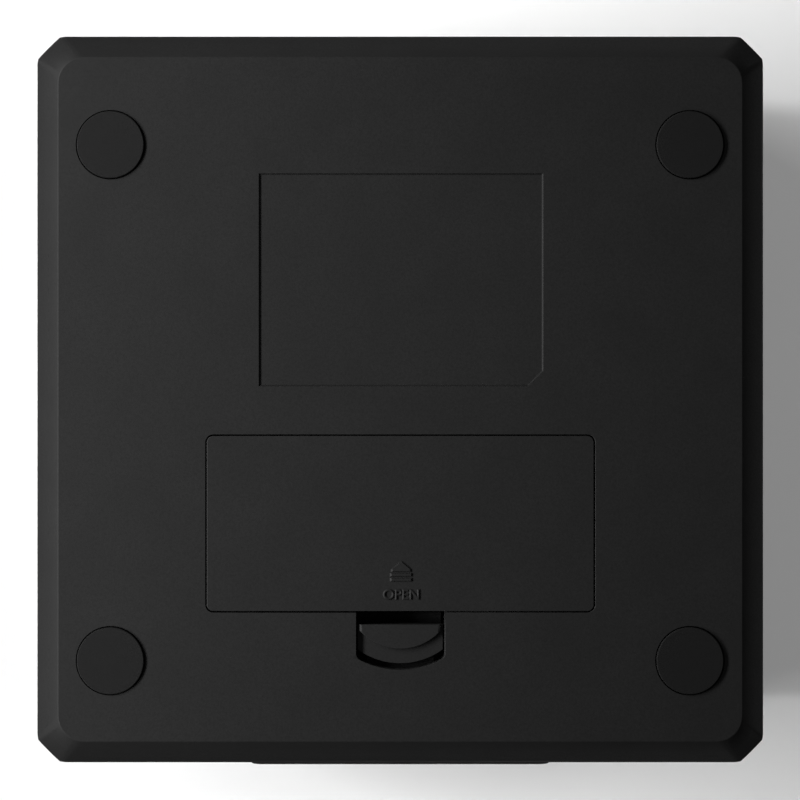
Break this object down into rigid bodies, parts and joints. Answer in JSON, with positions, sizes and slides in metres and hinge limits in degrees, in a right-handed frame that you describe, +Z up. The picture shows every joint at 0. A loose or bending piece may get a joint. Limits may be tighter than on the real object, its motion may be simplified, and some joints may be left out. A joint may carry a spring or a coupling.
{
  "type": "digital alarm clock",
  "caption": "Cube-shaped desk alarm clock with a front liquid crystal display, a snooze bar on top, set buttons at the rear and a latched battery door in its base.",
  "frame": {"origin": "on the table plane under the middle of the case, at the undersides of the feet", "axes": "+Z up, the display faces -Y, the set buttons face +Y, +X is to the right of a person facing the display"},
  "size_m": [0.1, 0.1015, 0.1],
  "materials": {
    "case_plastic": "fine spark-eroded texture",
    "foot_rubber": "matte",
    "snooze_plastic": "soft satin",
    "key_rubber": "matte",
    "knob_plastic": "satin",
    "lens_acrylic": "clear with a black printed border",
    "display_glass": "reflective grey-green",
    "white_plastic": "moulded",
    "guide_acrylic": "milky",
    "lamp": "clear lens",
    "zebra_rubber": "striped",
    "board": "solder mask",
    "chip_epoxy": "cast blob",
    "switch_plastic": "moulded",
    "switch_can": "tin plated",
    "plunger_plastic": "moulded",
    "screw_steel": "zinc plated",
    "spring_steel": "nickel plated",
    "cell_wrap": "printed wrap",
    "buzzer_brass": "rolled",
    "buzzer_white": "silvered",
    "red_sleeve": "extruded",
    "black_sleeve": "extruded",
    "ribbon_grey": "extruded"
  },
  "bodies": {
    "case": {"base_cover": "case_plastic", "housing": "case_plastic", "control_panel": "case_plastic", "foot_front_left": "foot_rubber", "foot_front_right": "foot_rubber", "foot_rear_left": "foot_rubber", "foot_rear_right": "foot_rubber", "display_lens": "lens_acrylic", "lcd_glass": "display_glass", "lcd_frame": "white_plastic", "light_guide": "guide_acrylic", "backlight_lamp": "lamp", "zebra_strips": "zebra_rubber", "main_board": "board", "snooze_board": "board", "control_board": "board", "controller_chip": "chip_epoxy", "snooze_switch": "switch_plastic", "set_switches": "switch_plastic", "alarm_switch": "switch_can", "crystal_can": "switch_can", "case_screws": "screw_steel", "board_screws": "screw_steel", "snooze_board_screws": "screw_steel", "control_board_screws": "screw_steel", "snooze_spring_left": "spring_steel", "snooze_spring_right": "spring_steel", "bridge_contact": "spring_steel", "positive_contact": "spring_steel", "negative_contact": "spring_steel", "front_cell": "cell_wrap", "rear_cell": "cell_wrap", "buzzer_disc": "buzzer_brass", "buzzer_ceramic": "buzzer_white", "battery_lead_red": "red_sleeve", "buzzer_lead_red": "red_sleeve", "battery_lead_black": "black_sleeve", "buzzer_lead_black": "black_sleeve", "control_ribbon": "ribbon_grey", "snooze_ribbon": "ribbon_grey"},
    "door": {"battery_door": "case_plastic"},
    "latch": {"door_latch": "case_plastic"},
    "snooze": {"snooze_bar": "snooze_plastic", "snooze_plunger": "plunger_plastic"},
    "mode_key": {"mode_button": "key_rubber", "mode_plunger": "plunger_plastic"},
    "set_key": {"set_button": "key_rubber", "set_plunger": "plunger_plastic"},
    "up_key": {"up_button": "key_rubber", "up_plunger": "plunger_plastic"},
    "down_key": {"down_button": "key_rubber", "down_plunger": "plunger_plastic"},
    "alarm_slider": {"alarm_knob": "knob_plastic"}
  },
  "joints": [
    {"name": "door_open", "type": "hinge", "parent": "case", "child": "door", "pos_m": [0, 0.00505, 0.0004], "axis": [-1, 0, 0], "range_deg": [0, 75]},
    {"name": "latch_press", "type": "hinge", "parent": "door", "child": "latch", "pos_m": [0, 0.02995, 0.0076], "axis": [-1, 0, 0], "range_deg": [0, 8], "stiffness_Nm_per_rad": 0.1},
    {"name": "snooze_press", "type": "slide", "parent": "case", "child": "snooze", "axis": [0, 0, -1], "range_m": [0, 0.0012], "stiffness_N_per_m": 800, "deforming": ["snooze_spring_left", "snooze_spring_right"]},
    {"name": "mode_press", "type": "slide", "parent": "case", "child": "mode_key", "axis": [0, -1, 0], "range_m": [0, 0.0005], "stiffness_N_per_m": 1000},
    {"name": "set_press", "type": "slide", "parent": "case", "child": "set_key", "axis": [0, -1, 0], "range_m": [0, 0.0005], "stiffness_N_per_m": 1000},
    {"name": "up_press", "type": "slide", "parent": "case", "child": "up_key", "axis": [0, -1, 0], "range_m": [0, 0.0005], "stiffness_N_per_m": 1000},
    {"name": "down_press", "type": "slide", "parent": "case", "child": "down_key", "axis": [0, -1, 0], "range_m": [0, 0.0005], "stiffness_N_per_m": 1000},
    {"name": "alarm_slide", "type": "slide", "parent": "case", "child": "alarm_slider", "axis": [1, 0, 0], "range_m": [0, 0.003]}
  ]
}
